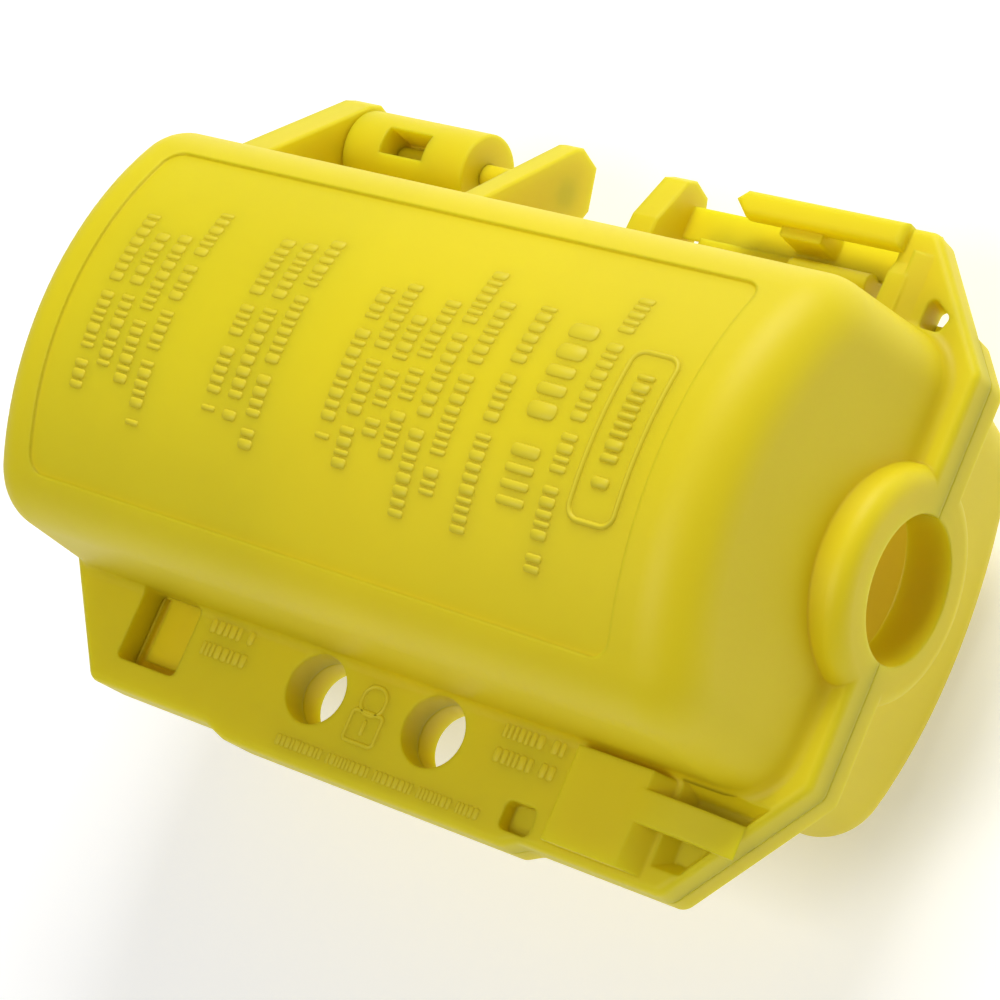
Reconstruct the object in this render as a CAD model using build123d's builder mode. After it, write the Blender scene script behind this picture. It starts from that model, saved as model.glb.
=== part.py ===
"""Clamshell plug lockout: two moulded halves that close round an electrical plug.

The parting plane is Z = 0, the hinge runs along X at the back (+Y), the padlock flange is at
the front (-Y) and the cord leaves through the +X end.  Millimetres.
"""
import os
from math import radians, sqrt, tan

from build123d import *

# ---- driving dimensions -------------------------------------------------------------------
HALF_LENGTH = 52.0          # rim ends, along X
FRONT_Y = -37.4             # front edge of the flange
BUMP_Y = -38.4              # front edge of its thicker middle stretch
BACK_Y = 36.2               # back edge of the cover's two corner wings
BASE_BACK_Y = 27.4          # back edge of the base flange, clear of the swinging cover
CORNER_X = 40.6             # where the flange's slanted ends begin
END_Y = 22.5                # half length of the straight rim at each end
PLATE = 3.5                 # thickness of each flange
PARTING_GAP = 0.1           # air between the two halves

CREST = 30.0                # height of the dome above the parting plane
ARCH_R = 38.0               # radius of the dome's shallow top arch
FOOT_HALF = 25.5            # half width of the dome at the parting plane
SIDE_HALF = 24.3            # half width of the dome where the arch meets the side wall
SHOULDER_R = 9.0            # rounding between arch and side wall
WALL = 2.2                  # shell thickness
RIGHT_FOOT = 49.6           # end walls at the parting plane
LEFT_FOOT = 51.4
RIGHT_LEAN = 7.6            # lean of the end walls from vertical, degrees
LEFT_LEAN = 6.6
RIGHT_ROUND = 6.0           # rounding of the end walls into the dome
LEFT_ROUND = 4.5
BELOW = 12.0                # the dome is made this much deeper, then cut at the parting plane

PANEL_X = (-42.2, 38.2)     # label panel sunk into the dome's top
PANEL_HALF = 19.9
PANEL_DEPTH = 0.3

CORD_R = 7.9                # cord hole
COLLAR_R = 12.5             # outside of the boss round the cord hole
COLLAR_DEPTH = 5.4          # length of the cord hole

PADLOCK_R = 4.0             # padlock shackle holes
PADLOCK_X = (-9.2, 7.6)
PADLOCK_Y = -29.7

AXIS_Y = 32.8               # hinge axis, on the parting plane
PIN_R = 1.5
PIN_FIT = 0.05              # radial clearance of the pin in barrel and gussets
BARREL_R = 5.0
BARREL_X = (-37.2, -19.0)
SLIDE = 3.0                 # how far the cover slides towards -X on the pin
GUSSET_X = ((-41.6, BARREL_X[0] - 0.1), (-10.0, -7.2))
PIN_X = (GUSSET_X[0][0], GUSSET_X[1][1] - 0.8)
HUB_R = 2.0                 # round back bar of the cover, carried by the base's saddle
SADDLE_X = (12.5, 35.0)
LIP_X = (25.2, SADDLE_X[1])
RIB_X = (6.0, 9.3)
EAR_X = (SADDLE_X[1] + SLIDE + 0.1, 40.5)
POCKET_Z = 1.5              # floor of the sunk corner beside the block
BLOCK_TOP = 5.8
BLOCK_Y = (26.0, 36.3)      # distances in front of the X axis
TONGUE_Y = (28.0, 31.5)
NECK_Y = 27.6               # back edge of the cover flange between its knuckles


def make_dome(inset):
    """Solid dome, smaller by inset all round, standing on the parting plane."""
    half_side = SIDE_HALF - inset
    radius = ARCH_R - inset
    side_z = CREST - ARCH_R + sqrt(radius**2 - half_side**2)
    half_foot = FOOT_HALF - inset + BELOW * (FOOT_HALF - SIDE_HALF) / side_z
    right, right_slope = RIGHT_FOOT - inset, tan(radians(RIGHT_LEAN))
    left, left_slope = LEFT_FOOT - inset, tan(radians(LEFT_LEAN))
    top = CREST + 10
    with BuildPart() as dome:
        with BuildSketch(Plane.YZ.offset(-HALF_LENGTH - 10)) as profile:
            with BuildLine():
                Polyline((-half_side, side_z), (-half_foot, -BELOW), (half_foot, -BELOW), (half_side, side_z))
                ThreePointArc((-half_side, side_z), (0, CREST - inset), (half_side, side_z))
            make_face()
            fillet(profile.vertices().group_by(Axis.Y)[-1], SHOULDER_R - inset)
        extrude(amount=2 * HALF_LENGTH + 20)
        with BuildSketch(Plane.XZ.offset(-FOOT_HALF - 10)):
            Polygon(
                (-left - BELOW * left_slope, -BELOW),
                (right + BELOW * right_slope, -BELOW),
                (right - top * right_slope, top),
                (-left + top * left_slope, top),
                align=None,
            )
        extrude(amount=2 * FOOT_HALF + 20, mode=Mode.INTERSECT)
        for face, radius in ((-1, RIGHT_ROUND), (0, LEFT_ROUND)):
            wall = dome.faces().sort_by(Axis.X)[face]
            fillet(wall.edges().sort_by(Axis.Z)[1:], radius - inset)
        split(bisect_by=Plane.XY)
    return dome.part


def half_ring(radius, x_from, x_to, edge_round):
    """Upper half of a disc on the cord axis, from x_from to x_to."""
    with BuildPart() as disc:
        with BuildSketch(Plane.YZ.offset(x_from)):
            Circle(radius)
        extrude(amount=x_to - x_from)
        if edge_round:
            fillet(disc.faces().sort_by(Axis.X)[-1].edges(), edge_round)
        split(bisect_by=Plane.XY)
    return disc.part


def flange_outline(back_y):
    """Plan of the rim and flange: an octagon with a raised middle stretch along its front."""
    slant = (-FRONT_Y - END_Y) / (HALF_LENGTH - CORNER_X)
    back_x = HALF_LENGTH - (back_y - END_Y) / slant
    with BuildSketch() as outline:
        Polygon(
            (-CORNER_X, FRONT_Y),
            (-22.2, FRONT_Y),
            (-19.0, BUMP_Y),
            (20.6, BUMP_Y),
            (22.6, FRONT_Y),
            (CORNER_X, FRONT_Y),
            (HALF_LENGTH, -END_Y),
            (HALF_LENGTH, END_Y),
            (back_x, back_y),
            (-back_x, back_y),
            (-HALF_LENGTH, END_Y),
            (-HALF_LENGTH, -END_Y),
            align=None,
        )
        fillet(outline.vertices(), 1.8)
    return outline.sketch


DOME = make_dome(0)
CAVITY = make_dome(WALL)


def shell_half(back_y):
    """One half without its hinge: flange, dome, cavity, cord hole and padlock holes."""
    with BuildPart() as half:
        add(flange_outline(back_y))
        extrude(amount=PLATE)
        fillet(half.faces().sort_by(Axis.Z)[-1].edges(), 0.9)
        add(DOME)
        at_foot = half.edges().filter_by(lambda e: abs(e.center().Z - PLATE) < 0.02)
        fillet(at_foot.filter_by(lambda e: abs(e.center().Y) < FOOT_HALF + 0.3), 1.2)
        add(half_ring(COLLAR_R, HALF_LENGTH - 12, HALF_LENGTH, 2.0))
        add(CAVITY, mode=Mode.SUBTRACT)
        add(half_ring(COLLAR_R - 1, HALF_LENGTH - COLLAR_DEPTH, HALF_LENGTH - 1, 0))
        with BuildSketch(Plane.YZ.offset(HALF_LENGTH + 1)):
            Circle(CORD_R)
        extrude(amount=-COLLAR_DEPTH - 2, mode=Mode.SUBTRACT)
        with BuildSketch():
            with Locations(*((x, PADLOCK_Y) for x in PADLOCK_X)):
                Circle(PADLOCK_R)
        extrude(amount=PLATE + 5, mode=Mode.SUBTRACT)
    return half.part


def hinge_slab(x_range, outline):
    """Flat slab across the hinge: a YZ outline drawn from x_range[0] to x_range[1]."""
    with BuildPart() as slab:
        with BuildSketch(Plane.YZ.offset(x_range[0])):
            Polygon(*outline, align=None)
        extrude(amount=x_range[1] - x_range[0])
        fillet(slab.faces().sort_by(Axis.X)[-1].edges(), 0.3)
    return slab.part


def axis_rod(x_range, radius):
    """Cylinder on the hinge axis."""
    with BuildPart() as rod:
        with BuildSketch(Plane.YZ.offset(x_range[0])):
            with Locations((AXIS_Y, 0)):
                Circle(radius)
        extrude(amount=x_range[1] - x_range[0])
    return rod.part


def parting_cut(half):
    """Half with the air between the two halves taken off its parting face."""
    with BuildPart() as trimmed:
        add(half)
        with Locations((0, BASE_BACK_Y - 50, 0)):
            Box(3 * HALF_LENGTH, 100, PARTING_GAP, mode=Mode.SUBTRACT)
    return trimmed.part


# the side outlines of the cover's hinge knuckles, (y, z)
UNDER_KNUCKLE = ((29.6, -3.0), (27.6, 0.1), (24, 0.1))
UNDER_GUSSET = ((37.7, -3.0), (33, -4.8), (29.5, -3.5), (27.6, 0.1), (24, 0.1))
GUSSETS = (
    ((24, 17.0), (37.6, 2.8), (38.4, 1.2), *UNDER_GUSSET),
    ((24, 15.5), (37.9, 1.6), (38.4, 0.6), *UNDER_GUSSET),
)
RIB = ((24, 5.6), (30.6, 5.2), (36.4, 2.4), (37.2, 0.8), (36.6, -2.2), (34.5, -3.2), *UNDER_KNUCKLE)
EAR = ((24, 4.4), (30.6, 4.2), (36.2, 1.6), (36.8, 0.4), (36.2, -2.2), (34.3, -3.0), *UNDER_KNUCKLE)

os.makedirs("parts", exist_ok=True)

# ---- cover: upper half, swings on the pin -------------------------------------------------
with BuildPart() as cover_shell:
    add(shell_half(BACK_Y))
    # flange cut back between the two corner wings so that it swings clear of the base
    with BuildSketch():
        with Locations(((GUSSET_X[0][1] + EAR_X[0]) / 2, (NECK_Y + 42) / 2)):
            Rectangle(EAR_X[0] - GUSSET_X[0][1], 42 - NECK_Y)
    extrude(amount=PLATE + 1, mode=Mode.SUBTRACT)
    # label panel
    with BuildPart(mode=Mode.PRIVATE) as panel:
        with BuildSketch():
            with Locations(((PANEL_X[0] + PANEL_X[1]) / 2, 0)):
                RectangleRounded(PANEL_X[1] - PANEL_X[0], 2 * PANEL_HALF, 2)
        extrude(amount=CREST + 5)
        with BuildSketch(Plane.YZ.offset(-HALF_LENGTH)):
            with Locations((0, CREST - ARCH_R)):
                Circle(ARCH_R - PANEL_DEPTH)
        extrude(amount=2 * HALF_LENGTH, mode=Mode.SUBTRACT)
    add(panel.part, mode=Mode.SUBTRACT)
    # ramped block beside the padlock holes, the sunk corner behind it and the tongue that bends over it
    with BuildSketch(Plane.XY.offset(POCKET_Z)):
        Polygon((39.8, -26.8), (46.4, -26.8), (41.4, -33.6), (39.8, -33.6), align=None)
    extrude(amount=PLATE + 0.2 - POCKET_Z, taper=-32, mode=Mode.SUBTRACT)
    with BuildSketch(Plane.XZ.offset(BLOCK_Y[0])):
        Polygon((25.6, PLATE - 0.4), (26.8, BLOCK_TOP), (36.2, BLOCK_TOP), (39.6, POCKET_Z - 0.2), (36, 1), align=None)
    extrude(amount=BLOCK_Y[1] - BLOCK_Y[0])
    with BuildSketch(Plane.XZ.offset(TONGUE_Y[0])):
        with BuildLine():
            ThreePointArc((35.0, BLOCK_TOP), (41.8, BLOCK_TOP - 0.4), (47.1, 3.6))
            Line((47.1, 3.6), (46.3, 2.4))
            ThreePointArc((46.3, 2.4), (41.4, 4.0), (35.6, 4.2))
            Line((35.6, 4.2), (35.0, BLOCK_TOP))
        make_face()
    extrude(amount=TONGUE_Y[1] - TONGUE_Y[0])
    # view window at the other end of the flange, and a thumb notch
    with BuildSketch():
        with Locations((-33.4, -29.6)):
            RectangleRounded(9.2, 8.8, 0.8)
    extrude(amount=PLATE + 1, mode=Mode.SUBTRACT)
    with BuildSketch(Plane.XY.offset(PLATE - 2)):
        with Locations((21.8, -35.1)):
            RectangleRounded(4.0, 3.2, 0.8)
    extrude(amount=3, mode=Mode.SUBTRACT)
    # lanyard hole in the corner wing
    with BuildSketch():
        teardrop = Polygon((43.4, 25.6), (45.9, 25.6), (46.6, 27.4), (43.6, 29.6), align=None)
        fillet(teardrop.vertices(), 0.7)
    extrude(amount=PLATE + 1, mode=Mode.SUBTRACT)
    # hinge knuckles
    for span, outline in zip((*GUSSET_X, RIB_X, EAR_X), (*GUSSETS, RIB, EAR)):
        add(hinge_slab(span, outline))
    with BuildSketch(Plane.XZ.offset(-33.5)):
        Polygon((EAR_X[1] - 0.5, 4.2), (EAR_X[1] + 2.3, PLATE - 0.2), (EAR_X[1] - 0.5, PLATE - 0.2), align=None)
    extrude(amount=9)
    add(axis_rod((RIB_X[0] + 1, EAR_X[1] - 1), HUB_R))
    with BuildSketch(Plane.XY.offset(-0.4)):
        with Locations(((RIB_X[1] + EAR_X[0]) / 2, AXIS_Y)):
            Rectangle(EAR_X[0] - RIB_X[1], 2 * HUB_R + 0.4)
    extrude(amount=HUB_R + 1, mode=Mode.SUBTRACT)
    with BuildPart(mode=Mode.PRIVATE) as latch:
        with BuildSketch(Plane.XY.offset(2.4)):
            Polygon((17.4, 34.9), (19.2, 33.2), (38.6, 33.2), (38.6, 36.1), (18.6, 36.1), align=None)
        extrude(amount=2.6)
        fillet(latch.edges().filter_by(Axis.Z, reverse=True), 0.8)
        with BuildSketch(Plane.XY.offset(-0.6)):
            with Locations((26.3, 33.3)):
                RectangleRounded(5.2, 2.6, 0.4)
        extrude(amount=4.4)
    add(latch.part)
    # hollow out again whatever the knuckles left inside, then bore for the pin
    add(CAVITY, mode=Mode.SUBTRACT)
    add(axis_rod((PIN_X[0] - 1, PIN_X[1]), PIN_R + PIN_FIT), mode=Mode.SUBTRACT)
cover_shell.part = parting_cut(cover_shell.part)
cover_shell.part.label = "cover_shell"
export_step(cover_shell.part, "parts/cover_shell.step")

# ---- base: lower half, carries the barrel and the saddle ----------------------------------
with BuildPart() as base_shell:
    add(shell_half(BASE_BACK_Y).mirror(Plane.XY))
    # shallow moat in the floor of the cover's window
    with BuildSketch(Plane.XY.offset(-0.9)):
        with Locations((-37.3, -29.6)):
            Rectangle(1.0, 8.4)
        with Locations((-33.4, -33.4)):
            Rectangle(8.8, 0.9)
    extrude(amount=1, mode=Mode.SUBTRACT)
    # barrel for the pin
    add(axis_rod(BARREL_X, BARREL_R))
    fillet(base_shell.faces().filter_by(Axis.X).sort_by(Axis.Y)[-2:].edges().filter_by(GeomType.CIRCLE), 0.3)
    with BuildSketch(Plane.YZ.offset(BARREL_X[0])):
        with Locations((28.4, -2.15)):
            Rectangle(8.8, 3.7)
    extrude(amount=BARREL_X[1] - BARREL_X[0])
    with BuildSketch():
        with Locations((-28.45, AXIS_Y + 0.3)):
            Rectangle(6.5, 3.3)
    extrude(amount=BARREL_R + 1, mode=Mode.SUBTRACT)
    # saddle under the cover's round back bar
    with BuildSketch(Plane.YZ.offset(SADDLE_X[0])):
        with Locations((AXIS_Y, 0)):
            Circle(HUB_R + 2.2)
        with Locations((AXIS_Y + 5, 0), (AXIS_Y, 5.9)):
            Rectangle(10, 10, mode=Mode.SUBTRACT)
        with Locations((27, -2.15)):
            Rectangle(6, 3.7)
        with Locations((AXIS_Y, 0)):
            Circle(HUB_R + 0.1, mode=Mode.SUBTRACT)
    extrude(amount=SADDLE_X[1] - SADDLE_X[0])
    # rounded lip in front of the bar, at the saddle's cord end
    with BuildSketch(Plane.YZ.offset(LIP_X[0])):
        with Locations((29.6, 1.2)):
            Circle(1.3)
        with Locations((29.6, -0.3)):
            Rectangle(2.2, 3.0)
        with Locations((AXIS_Y, 0)):
            Circle(HUB_R + 0.1, mode=Mode.SUBTRACT)
    extrude(amount=LIP_X[1] - LIP_X[0])
    add(CAVITY.mirror(Plane.XY), mode=Mode.SUBTRACT)
    add(axis_rod((BARREL_X[0] - 1, BARREL_X[1] + 1), PIN_R + PIN_FIT), mode=Mode.SUBTRACT)
base_shell.part = parting_cut(base_shell.part)
base_shell.part.label = "base_shell"
export_step(base_shell.part, "parts/base_shell.step")

# ---- hinge pin: turns in the barrel, its ends sit in the cover's two gussets -----------------
with BuildPart() as hinge_pin:
    add(axis_rod((PIN_X[0] + 0.1, PIN_X[1] - 0.1), PIN_R))
    chamfer(hinge_pin.edges().filter_by(GeomType.CIRCLE), 0.3)
hinge_pin.part.label = "hinge_pin"
export_step(hinge_pin.part, "parts/hinge_pin.step")
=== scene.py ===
"""Looks of the clamshell plug lockout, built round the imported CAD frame.

The scene is in metres, in the frame's own axes: +X towards the cord hole, +Y towards the
hinge, +Z out of the cover. The raised marks are laid out in millimetres.
"""
import random
from math import cos, pi, sin, sqrt

import bpy
from mathutils import Matrix, Vector


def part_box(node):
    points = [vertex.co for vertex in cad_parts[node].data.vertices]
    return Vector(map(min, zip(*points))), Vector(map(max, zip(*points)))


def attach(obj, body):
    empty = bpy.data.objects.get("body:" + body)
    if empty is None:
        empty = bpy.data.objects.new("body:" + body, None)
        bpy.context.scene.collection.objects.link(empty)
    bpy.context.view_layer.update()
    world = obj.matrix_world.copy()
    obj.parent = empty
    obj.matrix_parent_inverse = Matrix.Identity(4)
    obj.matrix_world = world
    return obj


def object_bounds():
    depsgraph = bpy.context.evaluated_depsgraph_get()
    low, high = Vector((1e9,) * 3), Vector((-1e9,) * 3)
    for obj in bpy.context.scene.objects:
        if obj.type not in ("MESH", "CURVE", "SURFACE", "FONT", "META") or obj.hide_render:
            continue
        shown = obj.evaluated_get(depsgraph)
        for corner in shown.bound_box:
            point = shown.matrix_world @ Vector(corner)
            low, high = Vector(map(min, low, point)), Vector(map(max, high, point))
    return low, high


MM = 0.001
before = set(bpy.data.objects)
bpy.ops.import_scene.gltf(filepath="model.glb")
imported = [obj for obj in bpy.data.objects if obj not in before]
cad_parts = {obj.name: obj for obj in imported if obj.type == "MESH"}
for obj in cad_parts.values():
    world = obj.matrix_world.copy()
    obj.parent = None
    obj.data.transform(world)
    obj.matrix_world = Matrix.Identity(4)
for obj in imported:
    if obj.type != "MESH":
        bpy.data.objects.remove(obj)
CAD_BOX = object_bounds()

# ---- materials -----------------------------------------------------------------------------
SHELL_YELLOW = (0.785, 0.64, 0.006)
PIN_YELLOW = (0.77, 0.61, 0.006)
MARK_YELLOW = (0.77, 0.635, 0.02)
SHELL_GRAIN = 2600.0
PIN_GRAIN = 3400.0
MOTTLE_DARK = 0.955
PLASTIC = {
    "Roughness": 0.52,
    "IOR": 1.49,
    "Specular IOR Level": 0.35,
    "Subsurface Radius": (0.70, 0.64, 0.06),
    "Subsurface Scale": 0.008,
}


def set_inputs(node, values):
    """Sets a node's sockets by name."""
    for name, value in values.items():
        node.inputs[name].default_value = value


def moulded_plastic(name, base, grain, scatter=0.6, edge=0.0005):
    """Matt translucent polypropylene, faintly mottled, with a fine spark-eroded grain.

    grain is the grain's noise scale, scatter the share of light that goes under the surface,
    and edge the radius in metres that sharp edges are softened to.
    """
    mat = bpy.data.materials.new(name)
    mat.use_nodes = True
    nodes, links = mat.node_tree.nodes, mat.node_tree.links
    shader = nodes["Principled BSDF"]
    set_inputs(shader, PLASTIC)
    set_inputs(shader, {"Subsurface Weight": scatter})
    coords = nodes.new("ShaderNodeTexCoord")

    cloud = nodes.new("ShaderNodeTexNoise")
    set_inputs(cloud, {"Scale": 38.0, "Detail": 3.0})
    tint = nodes.new("ShaderNodeValToRGB")
    dark, light = tint.color_ramp.elements
    dark.position, light.position = 0.35, 0.65
    dark.color = (*(c * MOTTLE_DARK for c in base), 1.0)
    light.color = (*base, 1.0)
    links.new(coords.outputs["Object"], cloud.inputs["Vector"])
    links.new(cloud.outputs["Fac"], tint.inputs["Fac"])
    links.new(tint.outputs["Color"], shader.inputs["Base Color"])

    fine = nodes.new("ShaderNodeTexNoise")
    set_inputs(fine, {"Scale": grain, "Detail": 4.0})
    bump = nodes.new("ShaderNodeBump")
    set_inputs(bump, {"Strength": 0.12, "Distance": 0.00006})
    links.new(coords.outputs["Object"], fine.inputs["Vector"])
    links.new(fine.outputs["Fac"], bump.inputs["Height"])
    if edge:
        soft_edge = nodes.new("ShaderNodeBevel")
        soft_edge.samples = 4
        set_inputs(soft_edge, {"Radius": edge})
        links.new(soft_edge.outputs["Normal"], bump.inputs["Normal"])
    links.new(bump.outputs["Normal"], shader.inputs["Normal"])
    return mat


def dress(node, mat):
    """Gives a CAD node its material."""
    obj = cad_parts[node]
    obj.data.materials.clear()
    obj.data.materials.append(mat)


# The marks are thinner than the light would travel in them, so theirs doesn't scatter.
MARK_PLASTIC = moulded_plastic("mark_plastic", MARK_YELLOW, SHELL_GRAIN, scatter=0.0, edge=0.0)
dress("cover_shell", moulded_plastic("cover_plastic", SHELL_YELLOW, SHELL_GRAIN))
dress("base_shell", moulded_plastic("base_plastic", SHELL_YELLOW, SHELL_GRAIN))
dress("hinge_pin", moulded_plastic("pin_plastic", PIN_YELLOW, PIN_GRAIN))

# ---- the surfaces that carry raised marks ----------------------------------------------------
ARCH_R = 38.0 * MM  # outside of the cover's arched roof
PANEL_R = ARCH_R - 0.3 * MM  # the label panel is sunk into the roof
ARCH_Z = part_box("cover_shell")[1][2] - ARCH_R  # axis of the arch
FLANGE_Z = 3.5 * MM  # top face of the cover's flange


def on_panel(x, y, height):
    """Point above the cover's arched label panel; y is measured round the arch."""
    angle = y / PANEL_R
    reach = PANEL_R + height
    return (x, reach * sin(angle), ARCH_Z + reach * cos(angle))


def on_flange(x, y, height):
    """Point above the top face of the cover's flange."""
    return (x, y, FLANGE_Z + height)


# ---- raised marks: plain bars and a symbol where the real part carries lettering --------------
ROOT = -0.2  # mm that a mark reaches into the surface, so that no gap shows
BLOCK_SLOPE = 0.13  # mm that a block's foot stands out past its top
BLOCK_ROUND = 0.35  # corner radius of a block's top, as a share of its shorter side
LINE_FOOT, LINE_CREST = 0.5, 0.15  # a raised line's half widths, as shares of its width
# A row's bars, all as shares of its size.
BAR_LENGTHS = (0.17, 0.28, 0.4)
BAR_WIDTH = 0.86
BAR_GAP, GROUP_GAP = 0.26, 0.8
LAST_ROOM = 0.4
GROUP_LEAST, GROUP_MOST = 4, 10  # bars in a group


def split_long_runs(points, longest=1.0):
    """Closed list of points with extra ones wherever two are far apart, so that it can bend."""
    result = []
    for (x0, y0), (x1, y1) in zip(points, points[1:] + points[:1]):
        parts = max(1, int(sqrt((x1 - x0) ** 2 + (y1 - y0) ** 2) / longest + 0.5))
        for i in range(parts):
            result.append((x0 + (x1 - x0) * i / parts, y0 + (y1 - y0) * i / parts))
    return result


def rounded_outline(half_x, half_y, radius, steps=3):
    """Corner-rounded rectangle about the origin, as a closed list of points."""
    points = []
    for quarter, (sx, sy) in enumerate(((1, 1), (-1, 1), (-1, -1), (1, -1))):
        for step in range(steps + 1):
            angle = (quarter + step / steps) * pi / 2
            x = sx * (half_x - radius) + radius * cos(angle)
            y = sy * (half_y - radius) + radius * sin(angle)
            points.append((x, y))
    return split_long_runs(points)


class Relief:
    """Collects low raised shapes and makes them into one piece that rides on the cover."""

    def __init__(self, name, surface, height):
        self.name, self.surface, self.height = name, surface, height
        self.verts, self.faces = [], []

    def ring(self, x, y, outline, height):
        """Adds an outline about (x, y) at a height, and returns its vertex numbers."""
        first = len(self.verts)
        for u, v in outline:
            self.verts.append(self.surface((x + u) * MM, (y + v) * MM, height * MM))
        return list(range(first, len(self.verts)))

    def bridge(self, low, high):
        """Joins two rings with a band of faces."""
        count = len(low)
        for i in range(count):
            j = (i + 1) % count
            self.faces.append((low[i], low[j], high[j], high[i]))

    def block(self, x, y, size_x, size_y):
        """Raised pad with sloping sides and rounded corners."""
        half_x, half_y = size_x / 2, size_y / 2
        radius = min(size_x, size_y) * BLOCK_ROUND
        low = rounded_outline(half_x + BLOCK_SLOPE, half_y + BLOCK_SLOPE, radius + BLOCK_SLOPE)
        high = rounded_outline(half_x, half_y, radius)
        bottom = self.ring(x, y, low, ROOT)
        foot = self.ring(x, y, low, 0)
        top = self.ring(x, y, high, self.height)
        self.bridge(bottom, foot)
        self.bridge(foot, top)
        self.faces += [tuple(reversed(bottom)), tuple(top)]

    def line(self, x, y, half_x, half_y, radius, width):
        """Raised line round a rounded rectangle."""
        outside = ((LINE_FOOT, ROOT), (LINE_FOOT, 0), (LINE_CREST, self.height))
        inside = tuple((-share, height) for share, height in reversed(outside))
        loops = []
        for share, height in outside + inside:
            grow = share * width
            outline = rounded_outline(half_x + grow, half_y + grow, radius + grow, 8)
            loops.append(self.ring(x, y, outline, height))
        for low, high in zip(loops, loops[1:] + loops[:1]):
            self.bridge(low, high)

    def row(self, across, start, end, size, draw, along_y=True):
        """Row of bars with gaps between groups of them, from start to end."""
        place = start
        way = 1 if end > start else -1
        left = draw.randint(GROUP_LEAST, GROUP_MOST)
        while (end - place) * way > size * LAST_ROOM:
            length = size * draw.choice(BAR_LENGTHS)
            middle = place + way * length / 2
            if along_y:
                self.block(across, middle, size * BAR_WIDTH, length)
            else:
                self.block(middle, across, length, size * BAR_WIDTH)
            left -= 1
            place += way * (length + size * (BAR_GAP if left else GROUP_GAP))
            left = left or draw.randint(GROUP_LEAST, GROUP_MOST)

    def build(self):
        """Makes the piece."""
        mesh = bpy.data.meshes.new(self.name)
        mesh.from_pydata(self.verts, [], self.faces)
        mesh.validate()
        obj = bpy.data.objects.new(self.name, mesh)
        bpy.context.scene.collection.objects.link(obj)
        mesh.materials.append(MARK_PLASTIC)
        mesh.shade_smooth()
        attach(obj, "cover")


SMALL, LARGE = 2.0, 3.8
PANEL_ROWS = (  # x, first y, last y, size
    (-27.6, 13.4, -12.8, SMALL),
    (-30.8, 9.4, -8.6, SMALL),
    (-33.9, 9.0, -8.2, SMALL),
    (-37.0, 11.0, -11.4, SMALL),
    (-11.2, 13.4, -11.4, SMALL),
    (-14.3, 12.2, -9.8, SMALL),
    (-17.4, 12.0, -9.0, SMALL),
    (13.4, 11.0, -11.0, SMALL),
    (10.2, 14.4, -13.8, SMALL),
    (7.2, 9.6, -8.8, SMALL),
    (4.4, 7.0, -7.0, SMALL),
    (1.6, 10.4, -11.0, SMALL),
    (-1.4, 9.2, -8.6, SMALL),
    (18.2, 11.6, -14.8, SMALL),
    (23.6, 10.6, -11.0, LARGE),
    (27.9, 15.4, -15.4, SMALL),
)
FLANGE_ROWS = (  # y, first x, last x, size
    (-26.9, -26.6, -19.6, 1.6),
    (-29.6, -26.6, -19.6, 1.6),
    (-26.9, 16.0, 24.2, 1.6),
    (-29.6, 16.0, 24.2, 1.6),
    (-36.2, -11.5, 17.0, 1.2),
)
BADGE_X = 33.1
PADLOCK_X, BODY_Y, SHACKLE_Y = -1.2, -31.9, -28.8

draw = random.Random(7)
panel_marks = Relief("panel_marks", on_panel, 0.14)
for across, start, end, size in PANEL_ROWS:
    panel_marks.row(across, start, end, size, draw)
panel_marks.build()

badge = Relief("panel_badge", on_panel, 0.22)
badge.line(BADGE_X, 0.4, half_x=2.7, half_y=9.0, radius=1.4, width=0.6)
badge.row(BADGE_X, 6.8, -6.2, 2.2, draw)
badge.build()

flange_marks = Relief("flange_marks", on_flange, 0.1)
for across, start, end, size in FLANGE_ROWS:
    flange_marks.row(across, start, end, size, draw, along_y=False)
flange_marks.build()

padlock = Relief("padlock_symbol", on_flange, 0.15)
padlock.line(PADLOCK_X, BODY_Y, half_x=2.1, half_y=1.75, radius=0.5, width=0.5)
padlock.line(PADLOCK_X, SHACKLE_Y, half_x=1.6, half_y=1.6, radius=1.4, width=0.5)
padlock.block(PADLOCK_X, BODY_Y, size_x=0.35, size_y=1.6)
padlock.build()

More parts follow.
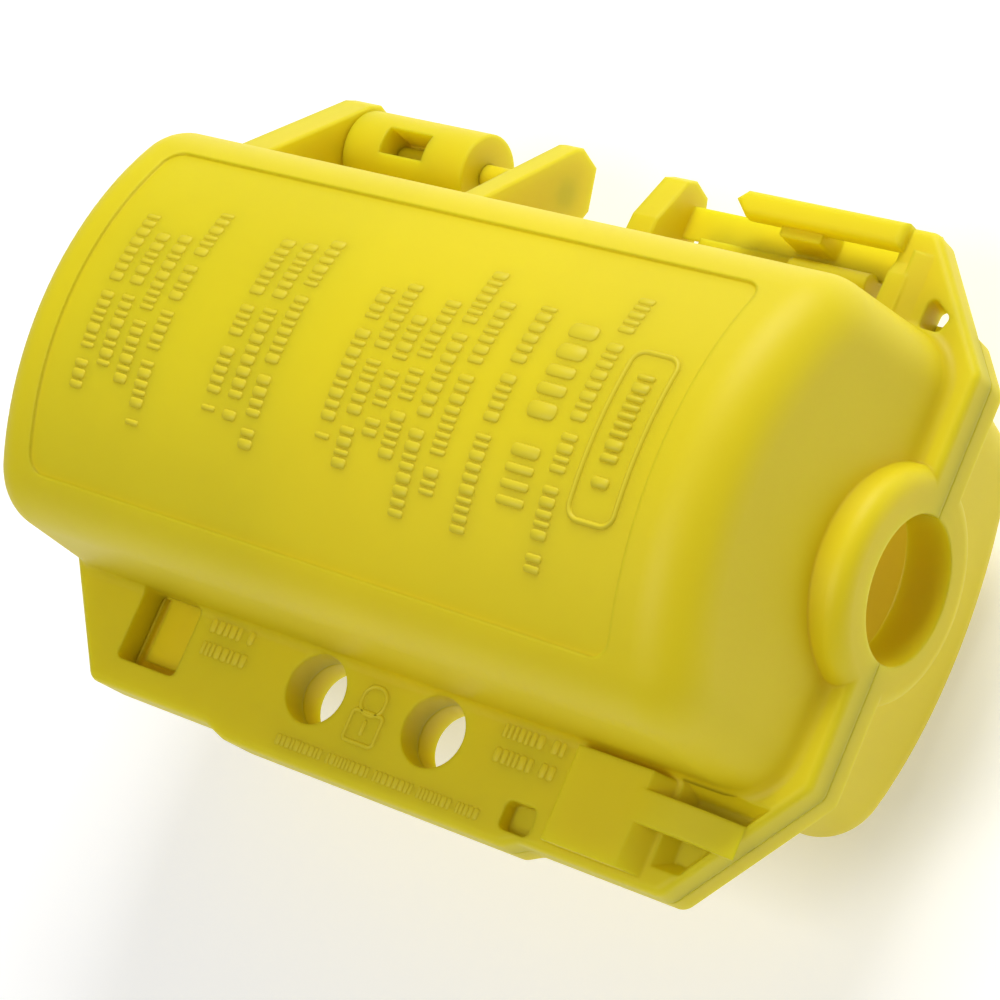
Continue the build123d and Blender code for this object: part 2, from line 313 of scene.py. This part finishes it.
# ---- floor, light, camera --------------------------------------------------------------------
FLOOR_SIZE = 6.0
FLOOR_CLEARANCE = 0.001
CENTRE = (0, 0, 0)
LIGHTS = (  # name, place, side in m, power in W, aim
    ("back_key", (0.02, 0.45, 0.35), 0.25, 2.25, CENTRE),
    ("overhead", (0.0, -0.25, 0.60), 0.25, 1.55, CENTRE),
    ("cavity_glow", (-0.010, 0.0, 0.0), 0.02, 0.008, (0.052, 0, 0)),
)
WORLD_STRENGTH = 0.25
SENSOR_MM, LENS_MM = 36.0, 106.6
CAMERA_MM = (192.41, -54.0, 255.58)
CAMERA_RIGHT = (0.7723, 0.3912, -0.5005)
CAMERA_DOWN = (0.2303, -0.9067, -0.3533)


def area_light(name, place, size, power, aim):
    """Square soft light at place, aimed at a point."""
    data = bpy.data.lights.new(name, "AREA")
    data.size = size
    data.energy = power
    obj = bpy.data.objects.new(name, data)
    bpy.context.scene.collection.objects.link(obj)
    obj.location = place
    obj.rotation_euler = (Vector(aim) - Vector(place)).to_track_quat("-Z", "Y").to_euler()


def pale_floor(z):
    """Plain near-white floor under the object."""
    mat = bpy.data.materials.new("studio_floor")
    mat.use_nodes = True
    set_inputs(mat.node_tree.nodes["Principled BSDF"], {
        "Base Color": (0.9, 0.9, 0.9, 1.0),
        "Roughness": 0.9,
        "Emission Color": (1.0, 1.0, 1.0, 1.0),
        "Emission Strength": 0.30,
    })
    bpy.ops.mesh.primitive_plane_add(size=FLOOR_SIZE, location=(0, 0, z))
    floor = bpy.context.object
    floor.name = "floor"
    floor.data.materials.append(mat)


def place_camera():
    """Camera high over the cord end, looking down on the cover and the padlock holes."""
    data = bpy.data.cameras.new("camera")
    data.sensor_width = SENSOR_MM
    data.lens = LENS_MM
    data.clip_start = 0.01
    data.clip_end = 20.0
    obj = bpy.data.objects.new("camera", data)
    bpy.context.scene.collection.objects.link(obj)
    right = Vector(CAMERA_RIGHT).normalized()
    up = -Vector(CAMERA_DOWN)
    up = (up - up.dot(right) * right).normalized()
    turn = Matrix((right, up, right.cross(up))).transposed()
    obj.matrix_world = Matrix.Translation(Vector(CAMERA_MM) * MM) @ turn.to_4x4()
    bpy.context.scene.camera = obj


pale_floor(CAD_BOX[0][2] - FLOOR_CLEARANCE)
for name, place, size, power, aim in LIGHTS:
    area_light(name, place, size, power, aim)
place_camera()
world = bpy.data.worlds.new("studio")
world.use_nodes = True
set_inputs(world.node_tree.nodes["Background"], {
    "Color": (1.0, 1.0, 1.0, 1.0),
    "Strength": WORLD_STRENGTH,
})
bpy.context.scene.world = world
bpy.context.scene.view_settings.view_transform = "Standard"
